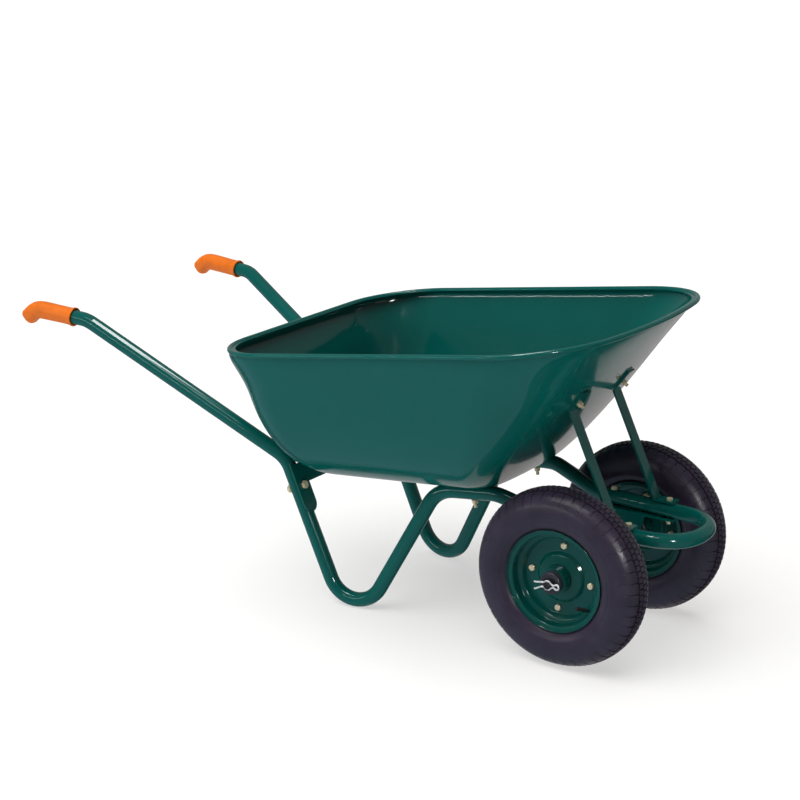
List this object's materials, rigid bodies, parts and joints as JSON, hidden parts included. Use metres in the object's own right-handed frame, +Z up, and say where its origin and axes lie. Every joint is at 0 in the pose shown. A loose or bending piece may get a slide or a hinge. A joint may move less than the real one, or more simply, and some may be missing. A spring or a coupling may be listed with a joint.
{
  "type": "wheelbarrow",
  "caption": "Builder's wheelbarrow: deep steel tray on one bent tube, two pneumatic wheels on a fixed axle, plastic grips on the handles.",
  "frame": {"origin": "on the ground under the middle of the overall length, in the middle plane", "axes": "+X forward along the length, towards the wheels; +Y to the left side; +Z up"},
  "size_m": [1.6742, 0.764, 0.747],
  "materials": {
    "green_paint": "gloss",
    "tyre": "satin",
    "rubber": "matt",
    "bush_plastic": "matt",
    "grip_plastic": "satin",
    "zinc": "satin",
    "steel": "satin"
  },
  "bodies": {
    "frame": {"arm_front_bolts": "zinc", "arm_front_nuts": "zinc", "arm_rear_bolts": "zinc", "arm_rear_nuts": "zinc", "arm_rear_washers": "zinc", "axle": "steel", "axle_bracket_left": "green_paint", "axle_bracket_right": "green_paint", "axle_clip_left": "zinc", "axle_clip_right": "zinc", "axle_spacer_left": "steel", "axle_spacer_right": "steel", "axle_washer_left": "steel", "axle_washer_right": "steel", "brace_leg_bolts": "zinc", "brace_leg_nuts": "zinc", "brace_tray_bolts": "zinc", "brace_tray_nuts": "zinc", "frame_tube": "green_paint", "grip_left": "grip_plastic", "grip_right": "grip_plastic", "rear_cross_brace": "green_paint", "rim_wire": "steel", "strut_left": "green_paint", "strut_right": "green_paint", "strut_tray_bolts": "zinc", "strut_tray_nuts": "zinc", "tray": "green_paint", "tray_floor_bolts": "zinc", "tray_floor_nuts": "zinc", "tray_floor_washers": "zinc"},
    "wheel_left": {"bush_inner_left": "bush_plastic", "bush_outer_left": "bush_plastic", "hub_left": "green_paint", "inner_tube_left": "rubber", "rim_bolts_left": "zinc", "rim_inner_left": "green_paint", "rim_nuts_left": "zinc", "rim_outer_left": "green_paint", "tyre_left": "tyre", "valve_cap_left": "rubber", "valve_left": "rubber"},
    "wheel_right": {"bush_inner_right": "bush_plastic", "bush_outer_right": "bush_plastic", "hub_right": "green_paint", "inner_tube_right": "rubber", "rim_bolts_right": "zinc", "rim_inner_right": "green_paint", "rim_nuts_right": "zinc", "rim_outer_right": "green_paint", "tyre_right": "tyre", "valve_cap_right": "rubber", "valve_right": "rubber"}
  },
  "joints": [
    {"name": "wheel_left_spin", "type": "hinge", "parent": "frame", "child": "wheel_left", "pos_m": [0.58615, 0.191, 0.2], "axis": [0, 1, 0], "continuous": true},
    {"name": "wheel_right_spin", "type": "hinge", "parent": "frame", "child": "wheel_right", "pos_m": [0.58615, -0.191, 0.2], "axis": [0, 1, 0], "continuous": true}
  ]
}
